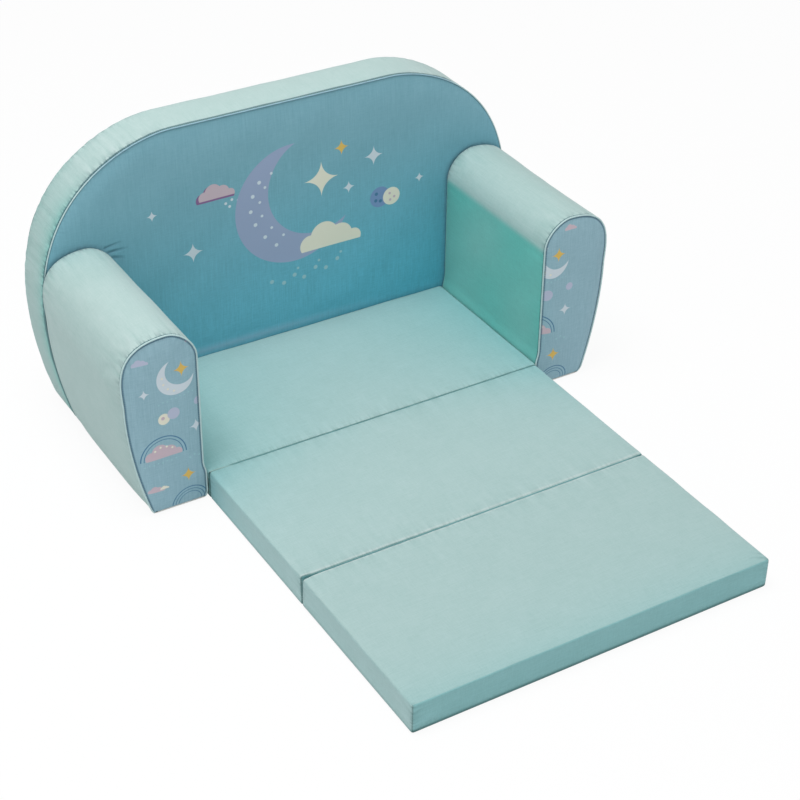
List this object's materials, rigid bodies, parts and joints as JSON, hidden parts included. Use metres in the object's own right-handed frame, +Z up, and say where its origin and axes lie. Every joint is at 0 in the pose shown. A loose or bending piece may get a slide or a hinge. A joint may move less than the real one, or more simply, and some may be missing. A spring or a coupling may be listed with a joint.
{
  "type": "children's fold-out foam sofa",
  "caption": "Small foam sofa with a round-shouldered back, round-topped arms and a seat of slabs that folds out flat into a play mat",
  "frame": {"origin": "on the floor, at the bottom centre of the opened sofa's bounding box", "axes": "+Z up, +Y towards the back rest, -Y the way the seat opens, +X to the right of the picture taken from the front"},
  "size_m": [0.7754, 0.8802, 0.4263],
  "materials": {
    "mint_cloth": "plain-weave cotton, matt",
    "blue_cloth": "plain-weave cotton, matt, printed",
    "dusty_blue_cloth": "plain-weave cotton, matt, printed",
    "pale_piping": "bias-cut cotton over cord, matt",
    "grey_underside": "light non-slip cloth, matt",
    "white_foam": "open-cell polyurethane foam, matt",
    "zip_tape": "woven polyester tape, matt",
    "zip_nylon": "nylon coil, satin",
    "zip_metal": "zinc alloy, satin"
  },
  "bodies": {
    "sofa_body": {"back_foam": "white_foam", "back_front_cover": "blue_cloth", "back_band_cover": "mint_cloth", "back_rear_cover": "mint_cloth", "back_front_piping": "pale_piping", "back_base_cloth": "grey_underside", "rear_zip_upper_tape": "zip_tape", "rear_zip_lower_tape": "zip_tape", "rear_zip_coil": "zip_nylon", "left_arm_foam": "white_foam", "left_arm_wrap_cover": "mint_cloth", "left_arm_front_cover": "dusty_blue_cloth", "left_arm_piping": "pale_piping", "left_arm_base_cloth": "grey_underside", "right_arm_foam": "white_foam", "right_arm_wrap_cover": "mint_cloth", "right_arm_front_cover": "dusty_blue_cloth", "right_arm_piping": "pale_piping", "right_arm_base_cloth": "grey_underside", "seat_base_foam": "white_foam", "seat_base_cover": "mint_cloth", "seat_base_bottom_cloth": "mint_cloth", "rear_fold_seam": "mint_cloth"},
    "middle_panel": {"middle_panel_foam": "white_foam", "middle_panel_cover": "mint_cloth", "middle_panel_bottom_cloth": "mint_cloth", "front_fold_seam": "mint_cloth"},
    "front_panel": {"front_panel_foam": "white_foam", "front_panel_cover": "mint_cloth", "front_panel_bottom_cloth": "mint_cloth"},
    "zip_slider": {"rear_zip_slider": "zip_metal"},
    "zip_pull": {"rear_zip_pull": "zip_metal"}
  },
  "joints": [
    {"name": "middle_panel_fold", "type": "hinge", "parent": "sofa_body", "child": "middle_panel", "pos_m": [0, 0.09262, 0.04775], "axis": [-1, 0, 0], "range_deg": [0, 180]},
    {"name": "front_panel_fold", "type": "hinge", "parent": "middle_panel", "child": "front_panel", "pos_m": [0, -0.17037, -0.00015], "axis": [1, 0, 0], "range_deg": [0, 180]},
    {"name": "zip_slide", "type": "slide", "parent": "sofa_body", "child": "zip_slider", "axis": [-1, 0, 0], "range_m": [0, 0.578]},
    {"name": "zip_pull_flip", "type": "hinge", "parent": "zip_slider", "child": "zip_pull", "pos_m": [0.289, 0.43812, 0.045], "axis": [0, 0, -1], "range_deg": [0, 180]}
  ],
  "couplings": [
    {"joint": "front_panel_fold", "follows": "middle_panel_fold", "ratio": 1}
  ]
}
